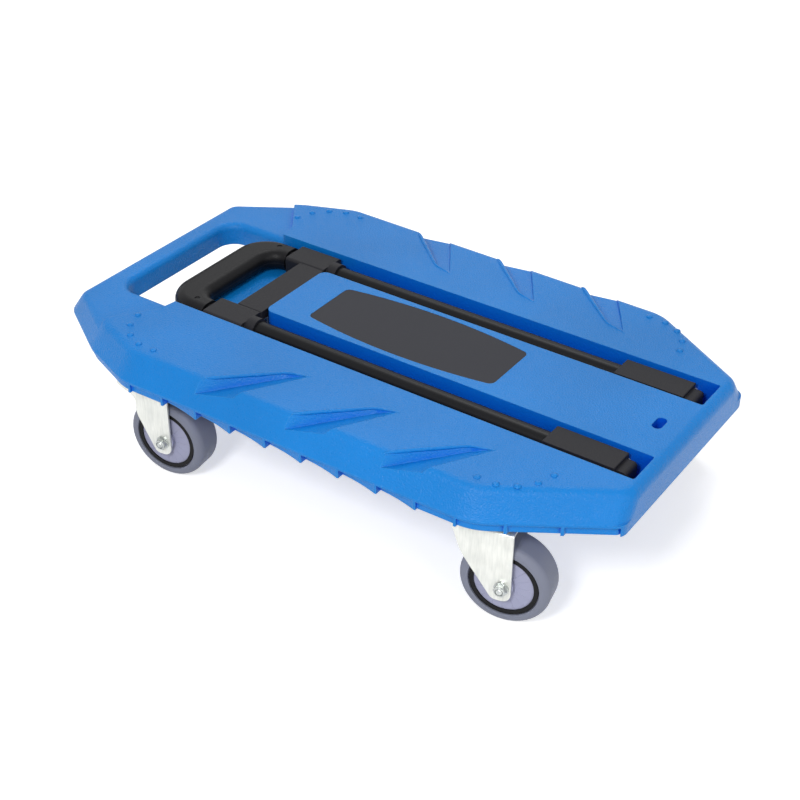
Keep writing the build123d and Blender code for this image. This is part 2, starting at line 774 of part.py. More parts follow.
for shell_name, shell_bottom, shell_top in (
    ("grip_lower", grip_bottom_z, grip_seam_z),
    ("grip_upper", grip_seam_z, grip_top_z),
):
    with BuildPart() as grip_shell:
        with Locations((grip_outer_x, 0, shell_bottom)):
            Box(
                grip_length,
                2 * grip_half_width,
                shell_top - shell_bottom,
                align=(Align.MIN, Align.CENTER, Align.MIN),
            )
        add(grip_form.part, mode=Mode.INTERSECT)
        with Locations((grip_outer_x, 0, grip_bottom_z)):
            Box(
                grip_pad_depth,
                grip_pad_length,
                grip_height,
                align=(Align.MIN, Align.CENTER, Align.MIN),
                mode=Mode.SUBTRACT,
            )
        with BuildSketch(Plane.XY.offset(grip_top_z)):
            with Locations((grip_screw_x, tube_y), (grip_screw_x, -tube_y)):
                Circle(grip_screw_head_diameter / 2 + fit_gap)
        extrude(amount=-grip_screw_recess - grip_screw_head_height, mode=Mode.SUBTRACT)
        with BuildSketch(Plane.XY.offset(grip_top_z)):
            with Locations((grip_screw_x, tube_y), (grip_screw_x, -tube_y)):
                Circle(grip_screw_diameter / 2 + fit_gap)
        extrude(amount=-grip_screw_length, mode=Mode.SUBTRACT)
    grip_shell.part.label = shell_name
    export_step(grip_shell.part, "parts/" + shell_name + ".step")

# Screws that close the grip
with BuildPart() as grip_screws:
    with Locations((grip_screw_x, tube_y), (grip_screw_x, -tube_y)):
        with Locations((0, 0, grip_top_z - grip_screw_recess - grip_screw_head_height)):
            Cylinder(
                grip_screw_head_diameter / 2, grip_screw_head_height, align=(Align.CENTER, Align.CENTER, Align.MIN)
            )
        with Locations((0, 0, grip_top_z - grip_screw_length)):
            Cylinder(
                grip_screw_diameter / 2,
                grip_screw_length - grip_screw_recess - grip_screw_head_height,
                align=(Align.CENTER, Align.CENTER, Align.MIN),
            )
grip_screws.part.label = "grip_screws"
export_step(grip_screws.part, "parts/grip_screws.step")

# Kingpins and plate screws of all four casters
with BuildPart() as kingpins:
    for name, x, y, yaw, braked in casters:
        with Locations((x, y, crown_bottom - swivel_gap - kingpin_head_height)):
            Cylinder(
                kingpin_head_diameter / 2, kingpin_head_height, align=(Align.CENTER, Align.CENTER, Align.MIN)
            )
            Cylinder(
                kingpin_diameter / 2,
                kingpin_head_height + swivel_gap + caster_height - crown_bottom,
                align=(Align.CENTER, Align.CENTER, Align.MIN),
            )
kingpins.part.label = "kingpins"
export_step(kingpins.part, "parts/kingpins.step")

with BuildPart() as caster_screws:
    for name, x, y, yaw, braked in casters:
        with BuildSketch(Plane.XY.offset(plate_bottom)):
            with Locations((x, y)):
                with GridLocations(screw_spacing_x, screw_spacing_y, 2, 2):
                    RegularPolygon(screw_head_flats / 2, 6, major_radius=False)
        extrude(amount=-screw_head_height)
        with BuildSketch(Plane.XY.offset(plate_bottom)):
            with Locations((x, y)):
                with GridLocations(screw_spacing_x, screw_spacing_y, 2, 2):
                    Circle(screw_diameter / 2)
        extrude(amount=screw_length)
caster_screws.part.label = "caster_screws"
export_step(caster_screws.part, "parts/caster_screws.step")

# Casters, built around their swivel axes; s runs along the trail, from the swivel axis
for name, x, y, yaw, braked in casters:
    trail_x = math.cos(math.radians(yaw))
    trail_y = math.sin(math.radians(yaw))
    level = Plane(origin=(x, y, 0), x_dir=(trail_x, trail_y, 0), z_dir=(0, 0, 1))
    upright = Plane(origin=(x, y, 0), x_dir=(trail_x, trail_y, 0), z_dir=(trail_y, -trail_x, 0))
    axle_level = Plane(
        origin=(x + trail * trail_x, y + trail * trail_y, wheel_radius),
        x_dir=(trail_x, trail_y, 0),
        z_dir=(0, 0, 1),
    )
    axle_axis = Axis(axle_level.origin, axle_level.y_dir)

    with BuildPart() as caster_plate:
        with BuildSketch(Plane.XY.offset(plate_bottom)):
            with Locations((x, y)):
                RectangleRounded(plate_length, plate_width, plate_corner_radius)
        extrude(amount=plate_thickness)
        with BuildSketch(Plane.XY.offset(plate_bottom)):
            with Locations((x, y)):
                Circle(cup_diameter / 2)
        extrude(amount=-cup_depth, taper=cup_taper)
        with BuildSketch(Plane.XY.offset(cup_bottom)):
            with Locations((x, y)):
                Circle(kingpin_diameter / 2)
                with GridLocations(screw_spacing_x, screw_spacing_y, 2, 2):
                    Circle(screw_diameter / 2 + screw_clearance)
        extrude(amount=cup_depth + plate_thickness, mode=Mode.SUBTRACT)
    caster_plate.part.label = "caster_plate_" + name
    export_step(caster_plate.part, "parts/caster_plate_" + name + ".step")

    with BuildPart() as swivel_race:
        with BuildSketch(Plane.XY.offset(crown_top)):
            with Locations((x, y)):
                Circle(race_diameter / 2)
        extrude(amount=race_height)
        fillet(swivel_race.edges().sort_by(Axis.Z)[-1], radius=race_edge)
        with BuildSketch(Plane.XY.offset(crown_top)):
            with Locations((x, y)):
                Circle(kingpin_diameter / 2 + running_clearance)
        extrude(amount=race_height, mode=Mode.SUBTRACT)
    swivel_race.part.label = "swivel_race_" + name
    export_step(swivel_race.part, "parts/swivel_race_" + name + ".step")

    # The legs of a braked fork are cut back behind the crown to make room for the foot
    front_s = trail + fork_front_reach
    brake_pin_z = wheel_radius + brake_pin_rise
    if braked:
        rear_corners = [
            (-fork_rear_reach, crown_top - braked_shoulder_drop),
            (braked_leg_s, crown_top - braked_shoulder_drop - braked_shoulder_height),
            (braked_leg_s, crown_top - braked_waist_drop),
        ]
        rear_radii = braked_leg_radii
    else:
        rear_corners = [(fork_neck_s, crown_top - fork_neck_drop)]
        rear_radii = (fork_neck_radius,)
    with BuildPart() as fork:
        with BuildSketch(upright):
            with BuildLine():
                FilletPolyline(
                    (-fork_rear_reach, crown_top),
                    *rear_corners,
                    (fork_heel_s, wheel_radius - fork_foot_drop),
                    (front_s, wheel_radius - fork_foot_drop),
                    (front_s, crown_top),
                    radius=[0, *rear_radii, fork_heel_radius, fork_foot_radius, 0],
                    close=True,
                )
            make_face()
        extrude(amount=fork_inner_width / 2 + fork_sheet, both=True)
        long_edges = fork.faces().sort_by(Axis.Z)[-1].edges().filter_by(Axis((x, y, 0), (trail_x, trail_y, 0)))
        fillet(long_edges, radius=fork_bend_radius)
        with BuildSketch(upright):
            with Locations((trail, crown_bottom / 2)):
                Rectangle(2 * wheel_diameter, crown_bottom)
        extrude(amount=fork_inner_width / 2, both=True, mode=Mode.SUBTRACT)
        with BuildSketch(level.offset(crown_bottom)):
            Circle(kingpin_diameter / 2 + running_clearance)
        extrude(amount=fork_sheet, mode=Mode.SUBTRACT)
        with BuildSketch(upright):
            with Locations((trail, wheel_radius)):
                Circle(axle_diameter / 2 + fit_gap)
            if braked:
                with Locations((brake_pin_s, brake_pin_z)):
                    Circle(brake_pin_diameter / 2 + fit_gap)
        extrude(amount=fork_inner_width, both=True, mode=Mode.SUBTRACT)
    fork.part.label = "fork_" + name
    export_step(fork.part, "parts/fork_" + name + ".step")

    with BuildPart() as axle_bolt:
        with BuildSketch(axle_level):
            with BuildLine():
                Polyline(
                    (0, fork_inner_width / 2 + fork_sheet),
                    (axle_diameter / 2, fork_inner_width / 2 + fork_sheet),
                    (axle_diameter / 2, -fork_inner_width / 2 - fork_sheet - nut_height - axle_end_margin + 1),
                    (axle_diameter / 2 - 1, -fork_inner_width / 2 - fork_sheet - nut_height - axle_end_margin),
                    (0, -fork_inner_width / 2 - fork_sheet - nut_height - axle_end_margin),
                    close=True,
                )
            make_face()
        revolve(axis=axle_axis)
        with BuildSketch(upright.offset(-fork_inner_width / 2 - fork_sheet)):
            with Locations((trail, wheel_radius)):
                RegularPolygon(axle_head_flats / 2, 6, major_radius=False)
        extrude(amount=-axle_head_height)
    axle_bolt.part.label = "axle_bolt_" + name
    export_step(axle_bolt.part, "parts/axle_bolt_" + name + ".step")

    with BuildPart() as axle_nut:
        with BuildSketch(upright.offset(fork_inner_width / 2 + fork_sheet)):
            with Locations((trail, wheel_radius)):
                Circle(nut_flange_diameter / 2)
        extrude(amount=nut_flange_height)
        with BuildSketch(upright.offset(fork_inner_width / 2 + fork_sheet)):
            with Locations((trail, wheel_radius)):
                RegularPolygon(nut_flats / 2, 6, major_radius=False)
        extrude(amount=nut_height)
        with BuildSketch(upright.offset(fork_inner_width / 2 + fork_sheet)):
            with Locations((trail, wheel_radius)):
                Circle(axle_diameter / 2 + fit_gap)
        extrude(amount=nut_height, mode=Mode.SUBTRACT)
    axle_nut.part.label = "axle_nut_" + name
    export_step(axle_nut.part, "parts/axle_nut_" + name + ".step")

    with BuildPart() as axle_bush:
        with BuildSketch(upright):
            with Locations((trail, wheel_radius)):
                Circle(bush_diameter / 2)
                Circle(axle_diameter / 2 + fit_gap, mode=Mode.SUBTRACT)
        extrude(amount=fork_inner_width / 2, both=True)
    axle_bush.part.label = "axle_bush_" + name
    export_step(axle_bush.part, "parts/axle_bush_" + name + ".step")

    # Hub: a boss with a thin disc on both sides of a middle web, and the rim under the tyre
    bore_radius = bush_diameter / 2 + running_clearance
    ring_seat = hub_face_half_width - ring_depth
    with BuildPart() as hub:
        with BuildSketch(axle_level):
            with BuildLine():
                Polyline(
                    (bore_radius, -hub_boss_half_width),
                    (hub_boss_radius, -hub_boss_half_width),
                    (hub_boss_radius, -hub_face_half_width),
                    (hub_face_radius, -hub_face_half_width),
                    (hub_face_radius, -ring_seat),
                    (hub_rim_radius, -ring_seat),
                    (hub_rim_radius, ring_seat),
                    (hub_face_radius, ring_seat),
                    (hub_face_radius, hub_face_half_width),
                    (hub_boss_radius, hub_face_half_width),
                    (hub_boss_radius, hub_boss_half_width),
                    (bore_radius, hub_boss_half_width),
                    close=True,
                )
            make_face()
        revolve(axis=axle_axis)
    hub.part.label = "hub_" + name
    export_step(hub.part, "parts/hub_" + name + ".step")

    with BuildPart() as tyre:
        with BuildSketch(axle_level):
            with BuildLine():
                FilletPolyline(
                    (hub_rim_radius, -wheel_width / 2),
                    (wheel_radius, -wheel_width / 2),
                    (wheel_radius, wheel_width / 2),
                    (hub_rim_radius, wheel_width / 2),
                    radius=[1, tyre_shoulder_radius, tyre_shoulder_radius, 1],
                    close=True,
                )
            make_face()
        revolve(axis=axle_axis)
    tyre.part.label = "tyre_" + name
    export_step(tyre.part, "parts/tyre_" + name + ".step")

    with BuildPart() as guard_rings:
        with BuildSketch(axle_level):
            with Locations(
                ((hub_face_radius + ring_outer_radius) / 2, (ring_seat + ring_face_half_width) / 2),
                ((hub_face_radius + ring_outer_radius) / 2, -(ring_seat + ring_face_half_width) / 2),
            ):
                Rectangle(ring_outer_radius - hub_face_radius - 2 * fit_gap, ring_face_half_width - ring_seat)
        revolve(axis=axle_axis)
    guard_rings.part.label = "guard_rings_" + name
    export_step(guard_rings.part, "parts/guard_rings_" + name + ".step")

    if braked:
        with BuildPart() as brake_pin:
            with BuildSketch(upright):
                with Locations((brake_pin_s, brake_pin_z)):
                    Circle(brake_pin_diameter / 2)
            extrude(amount=fork_inner_width / 2 + fork_sheet, both=True)
            with BuildSketch(upright.offset(fork_inner_width / 2 + fork_sheet)):
                with Locations((brake_pin_s, brake_pin_z)):
                    Circle(brake_pin_diameter / 2 + brake_pin_head)
            extrude(amount=brake_pin_head)
            with BuildSketch(upright.offset(-fork_inner_width / 2 - fork_sheet)):
                with Locations((brake_pin_s, brake_pin_z)):
                    Circle(brake_pin_diameter / 2 + brake_pin_head)
            extrude(amount=-brake_pin_head)
        brake_pin.part.label = "brake_pin_" + name
        export_step(brake_pin.part, "parts/brake_pin_" + name + ".step")

        shoe_z = wheel_radius + math.sqrt((wheel_radius + shoe_gap) ** 2 - (shoe_s - trail) ** 2)
        lever_top_z = brake_pin_z + pedal_ear_radius - 1
        with BuildPart() as brake_pedal:
            with BuildSketch(upright):
                with Locations((brake_pin_s, brake_pin_z)):
                    Circle(pedal_ear_radius)
                with BuildLine():
                    Polyline(
                        (brake_pin_s, lever_top_z),
                        (pedal_reach, lever_top_z + pedal_rise),
                        (pedal_reach, lever_top_z + pedal_rise - pedal_sheet),
                        (shoe_s + shoe_length / 2, lever_top_z - 2 * pedal_sheet),
                        (shoe_s + shoe_length / 2, shoe_z),
                        (shoe_s - shoe_length / 2, shoe_z + 2),
                        (shoe_s - shoe_length / 2, lever_top_z - 2 * pedal_sheet),
                        (brake_pin_s, lever_top_z - 2 * pedal_sheet),
                        close=True,
                    )
                make_face()
            extrude(amount=pedal_width / 2, both=True)
            with BuildSketch(upright):
                with Locations((brake_pin_s, brake_pin_z)):
                    Circle(brake_pin_diameter / 2 + running_clearance)
            extrude(amount=pedal_width, both=True, mode=Mode.SUBTRACT)
        brake_pedal.part.label = "brake_pedal_" + name
        export_step(brake_pedal.part, "parts/brake_pedal_" + name + ".step")
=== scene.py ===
# %% [markdown]
# # A folding platform cart
# The cart is a blue moulded deck on four swivel casters. A dark handle lies folded in the
# deck. The solid parts come ready-made, in metres, with the floor at Z = 0 and +X towards
# the end where the handle is hinged. This lesson gives them their finishes, adds the fine
# trim that the solids don't have, and sets up the studio.

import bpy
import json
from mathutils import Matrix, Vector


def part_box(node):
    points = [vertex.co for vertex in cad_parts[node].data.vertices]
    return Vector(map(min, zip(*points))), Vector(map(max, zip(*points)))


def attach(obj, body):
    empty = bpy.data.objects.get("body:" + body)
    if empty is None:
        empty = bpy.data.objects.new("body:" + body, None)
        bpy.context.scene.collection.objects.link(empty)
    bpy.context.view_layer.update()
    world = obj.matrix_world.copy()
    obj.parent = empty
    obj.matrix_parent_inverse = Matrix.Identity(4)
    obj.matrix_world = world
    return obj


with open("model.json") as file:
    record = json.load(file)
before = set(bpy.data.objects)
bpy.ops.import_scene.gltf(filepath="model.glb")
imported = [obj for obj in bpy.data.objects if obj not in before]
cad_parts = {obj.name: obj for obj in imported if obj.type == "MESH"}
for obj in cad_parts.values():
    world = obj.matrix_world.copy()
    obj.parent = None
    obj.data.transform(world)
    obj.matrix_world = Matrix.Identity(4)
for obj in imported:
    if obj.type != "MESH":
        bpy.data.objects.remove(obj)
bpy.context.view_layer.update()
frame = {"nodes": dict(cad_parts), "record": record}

import json
import math

import bpy
import bmesh
from mathutils import Matrix, Vector

parts = frame["nodes"]

# %% [markdown]
# ## Helpers for materials
# A material is a small network of nodes. Short helpers keep the networks readable: one adds
# a node and sets its options, and one makes a node group with its sockets. The colours are
# written as they look on screen and turned into the linear values that Blender works with.

# %% Node helpers
NUMBER = "NodeSocketFloat"
DIRECTION = "NodeSocketVector"


def add_node(tree, kind, **options):
    """Add a node of the given kind and set its options."""
    node = tree.nodes.new(kind)
    for name, value in options.items():
        setattr(node, name, value)
    return node


def new_group(name, inputs, outputs):
    """Make a shader node group with named inputs, their values, and named outputs."""
    tree = bpy.data.node_groups.new(name, "ShaderNodeTree")
    for socket, kind, value in inputs:
        made = tree.interface.new_socket(name=socket, in_out="INPUT", socket_type=kind)
        made.default_value = value
    for socket, kind in outputs:
        tree.interface.new_socket(name=socket, in_out="OUTPUT", socket_type=kind)
    start = add_node(tree, "NodeGroupInput")
    end = add_node(tree, "NodeGroupOutput")
    return tree, start, end


def screen_colour(red, green, blue):
    """Turn a colour as seen on screen, 0 to 255, into Blender's linear colour."""
    linear = []
    for value in (red, green, blue):
        share = value / 255
        linear.append(share / 12.92 if share <= 0.04045 else ((share + 0.055) / 1.055) ** 2.4)
    return (*linear, 1.0)


print("half strength on screen, in linear light:", round(screen_colour(128, 128, 128)[0], 3))

# %% [markdown]
# ## Moulded grain
# The deck, the grip and the hubs are moulded plastic. The mould is sand-blasted, so the
# surface has a fine random grain of a millimetre or two. It could be painted or displaced,
# but a noise texture on the object's own coordinates gives a grain that stays put on the
# part and has the same size everywhere. The group puts out a height for the bump and a
# slow drift of tone, because a large moulding is never quite even.

# %% The grain group
fine_detail = 2.0
drift_detail = 3.0

grain, start, end = new_group(
    "moulded_grain",
    [("Grain Scale", NUMBER, 1400.0), ("Drift Scale", NUMBER, 5.0)],
    [("Height", NUMBER), ("Drift", NUMBER)],
)
coordinates = add_node(grain, "ShaderNodeTexCoord")
for scale_name, detail, output_name in (
    ("Grain Scale", fine_detail, "Height"),
    ("Drift Scale", drift_detail, "Drift"),
):
    noise = add_node(grain, "ShaderNodeTexNoise")
    noise.inputs["Detail"].default_value = detail
    grain.links.new(coordinates.outputs["Object"], noise.inputs["Vector"])
    grain.links.new(start.outputs[scale_name], noise.inputs["Scale"])
    grain.links.new(noise.outputs["Fac"], end.inputs[output_name])
print("group:", grain.name)

# %% [markdown]
# ## Edge wear and painted edge highlights
# Edges are handled most, so plastic and paint get paler there, and the paler line is also a
# painted highlight along each edge. The Bevel node gives a normal that is rounded near
# edges; where it turns away from the true normal there is an edge. A noise breaks the line
# up, so the wear looks like use and not a drawn outline. The rounded normal is put out as
# well: a moulding has no knife edges, and with it each edge catches a thin line of light.

# %% The edge wear and painted highlight group
bevel_samples = 4
flat_agreement = 0.99
edge_agreement = 0.80
patch_detail = 4.0

wear_and_highlight, start, end = new_group(
    "edge_wear_and_highlight",
    [("Width", NUMBER, 0.0015), ("Amount", NUMBER, 0.5), ("Break Up", NUMBER, 60.0)],
    [("Mask", NUMBER), ("Normal", DIRECTION)],
)
rounded = add_node(wear_and_highlight, "ShaderNodeBevel", samples=bevel_samples)
wear_and_highlight.links.new(start.outputs["Width"], rounded.inputs["Radius"])
wear_and_highlight.links.new(rounded.outputs["Normal"], end.inputs["Normal"])
surface = add_node(wear_and_highlight, "ShaderNodeNewGeometry")
turned = add_node(wear_and_highlight, "ShaderNodeVectorMath", operation="DOT_PRODUCT")
wear_and_highlight.links.new(rounded.outputs["Normal"], turned.inputs[0])
wear_and_highlight.links.new(surface.outputs["Normal"], turned.inputs[1])
edge = add_node(wear_and_highlight, "ShaderNodeMapRange")
edge.inputs["From Min"].default_value = flat_agreement
edge.inputs["From Max"].default_value = edge_agreement
wear_and_highlight.links.new(turned.outputs["Value"], edge.inputs["Value"])
coordinates = add_node(wear_and_highlight, "ShaderNodeTexCoord")
patches = add_node(wear_and_highlight, "ShaderNodeTexNoise")
patches.inputs["Detail"].default_value = patch_detail
wear_and_highlight.links.new(coordinates.outputs["Object"], patches.inputs["Vector"])
wear_and_highlight.links.new(start.outputs["Break Up"], patches.inputs["Scale"])
broken = add_node(wear_and_highlight, "ShaderNodeMath", operation="MULTIPLY")
wear_and_highlight.links.new(edge.outputs["Result"], broken.inputs[0])
wear_and_highlight.links.new(patches.outputs["Fac"], broken.inputs[1])
scaled = add_node(wear_and_highlight, "ShaderNodeMath", operation="MULTIPLY", use_clamp=True)
wear_and_highlight.links.new(broken.outputs["Value"], scaled.inputs[0])
wear_and_highlight.links.new(start.outputs["Amount"], scaled.inputs[1])
wear_and_highlight.links.new(scaled.outputs["Value"], end.inputs["Mask"])
print("group:", wear_and_highlight.name)

# %% [markdown]
# ## Painted shade in the hollows
# In a channel or a corner the light bounces from plastic to plastic, and each bounce
# takes out more of the other colours, so a recess looks deeper in colour than a face that
# lies open. A few bounces of light alone don't reach that depth, so that shade is painted
# into the colour: the Ambient Occlusion node tells how shut in a point is by its own piece,
# and that becomes a mask for a darker, deeper colour.

# %% The group for painted shade in recesses
hollow_samples = 8
open_level = 0.74
shut_level = 0.40

# A mask of how shut in a point is, for painted shade
hollow_shade, start, end = new_group("painted_hollow_shade", [("Reach", NUMBER, 0.08)], [("Mask", NUMBER)])
shut_in = add_node(hollow_shade, "ShaderNodeAmbientOcclusion", samples=hollow_samples, only_local=True)
hollow_shade.links.new(start.outputs["Reach"], shut_in.inputs["Distance"])
depth = add_node(hollow_shade, "ShaderNodeMapRange")
depth.inputs["From Min"].default_value = open_level
depth.inputs["From Max"].default_value = shut_level
hollow_shade.links.new(shut_in.outputs["AO"], depth.inputs["Value"])
hollow_shade.links.new(depth.outputs["Result"], end.inputs["Mask"])
print("group:", hollow_shade.name)

# %% [markdown]
# ## Layers of colour
# A finish is built like paint, in layers: the tone of the piece, painted shade laid over it
# in the hollows, and a paler colour along the edges that is partly wear and partly a painted
# highlight. Each layer is a Mix node steered by a mask. That node keeps its sockets for
# numbers, directions and colours in one row under the same names, so the ones for colours are
# picked by their place in the row.

# %% Helpers for the layers
mix_mask, mix_under, mix_over, mix_result = 0, 6, 7, 2


def scaled_colour(colour, share):
    """A colour with its strength multiplied, never above full strength."""
    return tuple(min(1.0, share * value) for value in colour[:3]) + (1.0,)


def lay_over(tree, mask, under, over):
    """Lay a fixed colour over a linked one where a mask is on."""
    mix = add_node(tree, "ShaderNodeMix", data_type="RGBA")
    tree.links.new(mask, mix.inputs[mix_mask])
    tree.links.new(under, mix.inputs[mix_under])
    mix.inputs[mix_over].default_value = over
    return mix.outputs[mix_result]


print("a pale grey at 0.6 of its strength:", scaled_colour((0.8, 0.8, 0.8, 1.0), 0.6))

# %% [markdown]
# ## One recipe for plastics, rubber and paint
# All the coloured pieces share one recipe: a base colour that drifts a little lighter and
# darker, painted shade in the hollows, paler edges that are partly wear and partly painted
# highlight, and a grain bump. The roughness follows the grain too, so a highlight sparkles
# and is never one smooth patch. Each material gives the groups its own values, so the deck
# can be coarse and the tyre smooth. Where no shade colour is given, the painted shade is the
# base colour at a little over half its strength.

# %% The coloured material recipe
noise_low = 0.3
noise_high = 0.7
darker_share = 0.9
lighter_share = 1.08
painted_shade_share = 0.6
gloss_swing = 0.08
grain_strength = 0.5


def coloured_material(name, colour, worn_and_highlit, roughness, shine, grain_size, edge_size, painted_shade=None):
    """Make a material with grain, drift of tone, painted shade in hollows, rounded edges, and paler edges
    that show use and a painted highlight.
    """
    material = bpy.data.materials.new(name)
    material.use_nodes = True
    tree = material.node_tree
    shader = tree.nodes["Principled BSDF"]
    shader.inputs["Specular IOR Level"].default_value = shine
    base = screen_colour(*colour)
    grain_scale, grain_depth = grain_size
    edge_width, edge_amount = edge_size
    texture = add_node(tree, "ShaderNodeGroup", node_tree=grain)
    texture.inputs["Grain Scale"].default_value = grain_scale
    edges = add_node(tree, "ShaderNodeGroup", node_tree=wear_and_highlight)
    edges.inputs["Width"].default_value = edge_width
    edges.inputs["Amount"].default_value = edge_amount
    tones = add_node(tree, "ShaderNodeValToRGB")
    tones.color_ramp.elements[0].position = noise_low
    tones.color_ramp.elements[0].color = scaled_colour(base, darker_share)
    tones.color_ramp.elements[1].position = noise_high
    tones.color_ramp.elements[1].color = scaled_colour(base, lighter_share)
    tree.links.new(texture.outputs["Drift"], tones.inputs["Fac"])
    # Painted shade goes over the tone in the hollows, then the paler edge colour, partly use and partly
    # painted highlight.
    hollows = add_node(tree, "ShaderNodeGroup", node_tree=hollow_shade)
    painted_shade_colour = screen_colour(*painted_shade) if painted_shade else scaled_colour(base, painted_shade_share)
    with_painted_shade = lay_over(tree, hollows.outputs["Mask"], tones.outputs["Color"], painted_shade_colour)
    finished = lay_over(tree, edges.outputs["Mask"], with_painted_shade, screen_colour(*worn_and_highlit))
    tree.links.new(finished, shader.inputs["Base Color"])
    gloss = add_node(tree, "ShaderNodeMapRange")
    gloss.inputs["From Min"].default_value = noise_low
    gloss.inputs["From Max"].default_value = noise_high
    gloss.inputs["To Min"].default_value = roughness - gloss_swing
    gloss.inputs["To Max"].default_value = roughness + gloss_swing
    tree.links.new(texture.outputs["Height"], gloss.inputs["Value"])
    tree.links.new(gloss.outputs["Result"], shader.inputs["Roughness"])
    bump = add_node(tree, "ShaderNodeBump")
    bump.inputs["Strength"].default_value = grain_strength
    bump.inputs["Distance"].default_value = grain_depth
    tree.links.new(texture.outputs["Height"], bump.inputs["Height"])
    tree.links.new(edges.outputs["Normal"], bump.inputs["Normal"])
    tree.links.new(bump.outputs["Normal"], shader.inputs["Normal"])
    return material


print("tone of a coloured piece:", darker_share, "to", lighter_share, "of its colour")

# %% [markdown]
# ## The colours of the pieces
# The deck is a strong blue with a coarse grain. The handle is nearly black: painted tubes
# with a satin shine, moulded hinge blocks, bridge and grip shells with a fine grain, and a
# dull rubber pad. The wheels have grey rubber tyres, pale lilac hubs and dark rings. Each
# row gives the colour, the colour of the edges, which is wear and painted highlight, the
# roughness, the shine, the scale and depth of the grain, and the width and strength of the
# edge wear and highlight. The deck's row also gives the colour of its painted shade in the
# hollows.

# %% Make the coloured materials
finish_rows = {
    "deck_blue": ((10, 124, 206), (90, 178, 240), 0.34, 0.24, (480.0, 0.0018), (0.0014, 0.9), (0, 88, 214)),
    "label_grey": ((48, 49, 55), (84, 84, 90), 0.62, 0.2, (1800.0, 0.0001), (0.0004, 0.4)),
    "tube_black": ((14, 15, 18), (70, 70, 76), 0.36, 0.16, (2200.0, 0.0001), (0.0006, 0.5)),
    "grip_black": ((15, 15, 18), (66, 66, 72), 0.42, 0.16, (1100.0, 0.0003), (0.0010, 0.5)),
    "bridge_black": ((34, 34, 38), (78, 78, 84), 0.55, 0.18, (900.0, 0.0004), (0.0010, 0.6)),
    "pad_rubber": ((18, 18, 20), (50, 50, 56), 0.62, 0.15, (1500.0, 0.0003), (0.0012, 0.4)),
    "tyre_grey": ((122, 126, 142), (150, 154, 168), 0.5, 0.3, (900.0, 0.0003), (0.0015, 0.4)),
    "hub_lilac": ((158, 160, 186), (196, 197, 214), 0.42, 0.3, (1200.0, 0.0001), (0.0006, 0.5)),
    "ring_black": ((20, 20, 22), (60, 60, 64), 0.5, 0.15, (1500.0, 0.0001), (0.0008, 0.4)),
}
finishes = {name: coloured_material(name, *row) for name, row in finish_rows.items()}
print("coloured materials:", len(finishes))

# %% [markdown]
# ## Zinc plating
# The forks and plates are pressed from steel sheet, the bolts and nuts are turned, and all
# have a bright zinc coat. Zinc isn't a mirror: the rolling of the sheet leaves faint
# upright streaks in it, and the plating bath leaves clouds. Both are noises, one of them
# squeezed until it is long and thin. The metal's tone and roughness follow them, and its
# edges are rounded like the plastic's, but show no wear.

# %% The zinc recipe
cloud_grain = 260.0
cloud_scale = 45.0
streak_scale = 420.0
streak_stretch = (1.0, 1.0, 0.12)
zinc_edge_width = 0.0006
blend_low = 0.7
blend_high = 1.3
zinc_smoothest = 0.28
zinc_roughest = 0.44
streak_strength = 0.3


def zinc_material(name, dark, light, metallic, streak_depth):
    """Make a zinc coat with streaks and clouds between two tones."""
    material = bpy.data.materials.new(name)
    material.use_nodes = True
    tree = material.node_tree
    shader = tree.nodes["Principled BSDF"]
    shader.inputs["Metallic"].default_value = metallic
    clouds = add_node(tree, "ShaderNodeGroup", node_tree=grain)
    clouds.inputs["Grain Scale"].default_value = cloud_grain
    clouds.inputs["Drift Scale"].default_value = cloud_scale
    edges = add_node(tree, "ShaderNodeGroup", node_tree=wear_and_highlight)
    edges.inputs["Width"].default_value = zinc_edge_width
    coordinates = add_node(tree, "ShaderNodeTexCoord")
    squeeze = add_node(tree, "ShaderNodeMapping")
    squeeze.inputs["Scale"].default_value = streak_stretch
    tree.links.new(coordinates.outputs["Object"], squeeze.inputs["Vector"])
    streaks = add_node(tree, "ShaderNodeTexNoise")
    streaks.inputs["Scale"].default_value = streak_scale
    tree.links.new(squeeze.outputs["Vector"], streaks.inputs["Vector"])
    blend = add_node(tree, "ShaderNodeMath", operation="ADD")
    tree.links.new(clouds.outputs["Drift"], blend.inputs[0])
    tree.links.new(streaks.outputs["Fac"], blend.inputs[1])
    shade = add_node(tree, "ShaderNodeMapRange")
    shade.inputs["From Min"].default_value = blend_low
    shade.inputs["From Max"].default_value = blend_high
    tree.links.new(blend.outputs["Value"], shade.inputs["Value"])
    gloss = add_node(tree, "ShaderNodeMapRange")
    gloss.inputs["To Min"].default_value = zinc_smoothest
    gloss.inputs["To Max"].default_value = zinc_roughest
    tree.links.new(shade.outputs["Result"], gloss.inputs["Value"])
    tree.links.new(gloss.outputs["Result"], shader.inputs["Roughness"])
    tones = add_node(tree, "ShaderNodeValToRGB")
    tones.color_ramp.elements[0].color = screen_colour(*dark)
    tones.color_ramp.elements[1].color = screen_colour(*light)
    tree.links.new(shade.outputs["Result"], tones.inputs["Fac"])
    tree.links.new(tones.outputs["Color"], shader.inputs["Base Color"])
    bump = add_node(tree, "ShaderNodeBump")
    bump.inputs["Strength"].default_value = streak_strength
    bump.inputs["Distance"].default_value = streak_depth
    tree.links.new(streaks.outputs["Fac"], bump.inputs["Height"])
    tree.links.new(edges.outputs["Normal"], bump.inputs["Normal"])
    tree.links.new(bump.outputs["Normal"], shader.inputs["Normal"])
    return material


print("streaks are", round(1 / streak_stretch[2], 1), "times as long as wide")

# %% [markdown]
# ## Two zinc finishes
# Pressed sheets hang in the bath one by one and come out pale and even. Bolts and nuts get
# a darker colour, which is painted dark reflection, and more metal in their shine. One
# recipe with two sets of values makes both.

# %% Make the two zinc materials
zinc = zinc_material("zinc_plate", (214, 216, 210), (236, 237, 231), 0.5, 0.0001)
